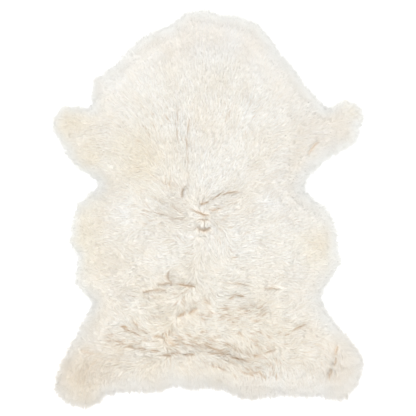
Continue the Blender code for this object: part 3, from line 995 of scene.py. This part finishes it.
def make_skin(material):
    """The tanned skin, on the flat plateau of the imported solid, and its area."""
    mesh = bmesh.new()
    mesh.from_mesh(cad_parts[NODE].data)
    bmesh.ops.remove_doubles(mesh, verts=mesh.verts, dist=FLAT)
    plateau = plateau_of(mesh)
    others = [face for face in mesh.faces if face not in plateau]
    bmesh.ops.delete(mesh, geom=others, context="FACES")
    area = sum(face.calc_area() for face in mesh.faces)
    bmesh.ops.dissolve_faces(mesh, faces=mesh.faces[:])
    extruded(mesh, SKIN)
    return shown("skin", finished("skin", mesh), material), area


# ---- materials

def srgb(red, green, blue):
    """A colour as a screen shows it, 0 to 255, as a shader's linear colour."""
    return tuple(((part / 255 + 0.055) / 1.055) ** 2.4 for part in (red, green, blue)) + (1.0,)


class Nodes:
    """A material's node tree, built from left to right. Its colours are given as a screen shows them."""

    def __init__(self, name, sockets):
        self.material = bpy.data.materials.new(name)
        self.material.use_nodes = True
        self.tree = self.material.node_tree
        self.shader = self.tree.nodes["Principled BSDF"]
        for socket, value in sockets.items():
            self.shader.inputs[socket].default_value = value
        self.place = self.add("ShaderNodeTexCoord").outputs["Object"]

    def add(self, kind, **settings):
        node = self.tree.nodes.new(kind)
        for name, value in settings.items():
            setattr(node, name, value)
        return node

    def link(self, output, target):
        self.tree.links.new(output, target)

    def value(self, name):
        """A number stored on the mesh."""
        return self.add("ShaderNodeAttribute", attribute_name=name).outputs["Fac"]

    def noise(self, vector, scale, detail=3.0):
        node = self.add("ShaderNodeTexNoise")
        node.inputs["Scale"].default_value = scale
        node.inputs["Detail"].default_value = detail
        self.link(vector, node.inputs["Vector"])
        return node.outputs["Fac"]

    def ramp(self, share, *stops):
        node = self.add("ShaderNodeValToRGB")
        while len(node.color_ramp.elements) < len(stops):
            node.color_ramp.elements.new(0.5)
        for element, (position, *colour) in zip(node.color_ramp.elements, stops):
            element.position = position
            element.color = srgb(*colour)
        self.link(share, node.inputs["Fac"])
        return node.outputs["Color"]

    def mixed(self, share, first, second, blend="MIX"):
        node = self.add("ShaderNodeMix", data_type="RGBA", blend_type=blend)
        for source, place in ((share, 0), (first, 6), (second, 7)):
            if isinstance(source, tuple):
                node.inputs[place].default_value = srgb(*source)
            elif isinstance(source, float):
                node.inputs[place].default_value = source
            else:
                self.link(source, node.inputs[place])
        return node.outputs[2]

    def stained_and_shaded(self, share, colour, stain_and_shade):
        """The colour, multiplied as far as the share says by one of the stains and painted shades."""
        return self.mixed(share, colour, self.mixed(1.0, colour, stain_and_shade, "MULTIPLY"))

    def bump(self, height, strength, distance):
        node = self.add("ShaderNodeBump")
        node.inputs["Strength"].default_value = strength
        node.inputs["Distance"].default_value = distance
        self.link(height, node.inputs["Height"])
        self.link(node.outputs["Normal"], self.shader.inputs["Normal"])

    def coloured(self, colour):
        """The material, once this is its colour."""
        self.link(colour, self.shader.inputs["Base Color"])
        return self.material


def wool_material():
    """Ivory wool: warmer at the roots, nearly white at the tips, with stains in patches, painted shade
    in the clefts and on the lowest strands, and painted light that pales the edge.
    """
    made = Nodes("wool", {"Roughness": 0.85, "Sheen Weight": 0.25, "Sheen Roughness": 0.6,
                          "Specular IOR Level": 0.25})
    colour = made.ramp(made.value("along"), (0.0, 250, 248, 244), (0.50, 253, 253, 251),
                       (1.0, 254, 254, 254))
    # the real stains, and the clefts' and lowest strands' warmer tints, which are partly painted shade
    for name, stain_and_shade in STAINS_AND_SHADE.items():
        colour = made.stained_and_shaded(made.value(name), colour, stain_and_shade)
    tone = made.ramp(made.value("tone"), (0.0, 244, 243, 242), (0.45, 255, 255, 253),
                     (0.75, 254, 253, 249), (1.0, 253, 253, 253))
    colour = made.mixed(1.0, colour, tone, "MULTIPLY")
    cloud = made.ramp(made.noise(made.place, 14.0), (0.30, 250, 246, 240), (0.70, 255, 255, 255))
    colour = made.mixed(1.0, colour, cloud, "MULTIPLY")
    # painted light: the edge is paled to offset the shade on its thin fringe
    colour = made.mixed(made.value("rim"), colour, (254, 254, 250))
    stretch = made.add("ShaderNodeMapping")
    stretch.inputs["Scale"].default_value = (260.0, 2400.0, 1.0)
    uv = made.add("ShaderNodeUVMap", uv_map="OFBake").outputs["UV"]
    made.link(uv, stretch.inputs["Vector"])
    made.bump(made.noise(stretch.outputs["Vector"], 1.0, 2.0), 0.35, 0.0001)
    return made.coloured(colour)


def undercoat_material():
    """Dense, matted wool near the skin: warmer and darker than the strands, partly as painted shade in
    the gaps between them, with painted shade in the clefts.
    """
    made = Nodes("undercoat", {"Roughness": 0.95})
    # warmer and darker than the strands: partly warmer deep wool, partly painted shade in the gaps
    colour = made.ramp(made.noise(made.place, 160.0, 4.0), (0.30, 240, 233, 222), (0.65, 247, 242, 234))
    # paler in the calm wool, with less painted shade in the gaps
    colour = made.mixed(made.value("pale"), colour, (249, 244, 236))
    # warmer roots and painted shade in the clefts
    colour = made.mixed(made.value("parted"), colour, (214, 184, 140))
    made.bump(made.noise(made.place, 420.0, 4.0), 0.7, 0.0015)
    return made.coloured(colour)


def skin_material():
    """Tanned sheep's skin, seen from below: matt suede, mottled, with a fine nap."""
    made = Nodes("skin", {"Roughness": 0.82, "Sheen Weight": 0.20, "Specular IOR Level": 0.30})
    mottle = made.ramp(made.noise(made.place, 9.0, 5.0), (0.32, 205, 186, 155), (0.55, 222, 205, 176),
                       (0.72, 231, 217, 191))
    nap = made.ramp(made.noise(made.place, 260.0, 3.0), (0.35, 238, 233, 226), (0.65, 255, 255, 255))
    made.bump(made.noise(made.place, 520.0, 4.0), 0.45, 0.0008)
    return made.coloured(made.mixed(1.0, mottle, nap, "MULTIPLY"))


def floor_material():
    """A matt white studio floor, faintly uneven."""
    made = Nodes("floor", {"Roughness": 0.9})
    return made.coloured(made.ramp(made.noise(made.place, 3.0), (0.3, 249, 249, 249),
                                   (0.7, 252, 252, 252)))


# ---- the studio

CAMERA_HEIGHT = 3.60
SENSOR = 36.0
FRAME_WIDTH = 0.936  # how much floor the picture takes in, side to side
PHOTO_DROP = 0.0034  # the rug sits this much below the picture's middle
FLOOR_SIZE = 12.0
DAYLIGHT = 1.58  # strength of the even white light all round


def make_camera():
    """Straight above the rug, with the neck at the top of the picture."""
    data = bpy.data.cameras.new("camera")
    data.sensor_width = SENSOR
    data.lens = SENSOR * CAMERA_HEIGHT / FRAME_WIDTH
    camera = added("camera", data)
    camera.location = (0.0, PHOTO_DROP, CAMERA_HEIGHT)
    bpy.context.scene.camera = camera


def make_floor():
    """A plain pale floor under the rug."""
    bpy.ops.mesh.primitive_plane_add(size=FLOOR_SIZE, location=(0.0, 0.0, 0.0))
    floor = bpy.context.object
    floor.name = "floor"
    floor.data.materials.append(floor_material())


def add_light(name, place, size, power):
    """A square soft light that faces the middle of the rug."""
    data = bpy.data.lights.new(name, "AREA")
    data.shape = "SQUARE"
    data.size = size
    data.energy = power
    light = added(name, data)
    light.location = place
    light.rotation_euler = (-Vector(place)).to_track_quat("-Z", "Y").to_euler()


def make_light():
    """Even light from all round, and a large soft light over the neck's left side."""
    world = bpy.data.worlds.new("studio")
    world.use_nodes = True
    background = world.node_tree.nodes["Background"]
    background.inputs["Color"].default_value = (1.0, 1.0, 1.0, 1.0)
    background.inputs["Strength"].default_value = DAYLIGHT
    bpy.context.scene.world = world
    add_light("key", place=(-0.6, 0.9, 2.6), size=1.6, power=6.0)
    bpy.context.scene.view_settings.view_transform = "Standard"


def make_rug():
    """The skin, the undercoat and the wool, in the order in which the map is filled in."""
    draw = np.random.default_rng(SEED)
    land = survey(NODE)
    add_zones(land)
    add_comb(land, draw)
    add_relief(land, draw)
    lines = clefts(land, draw)
    add_partings(land, lines)
    skin, area = make_skin(skin_material())
    undercoat = make_undercoat(land, undercoat_material())
    wool = make_wool(land, lines, wool_material(), draw)


make_camera()
make_floor()
make_light()
make_rug()
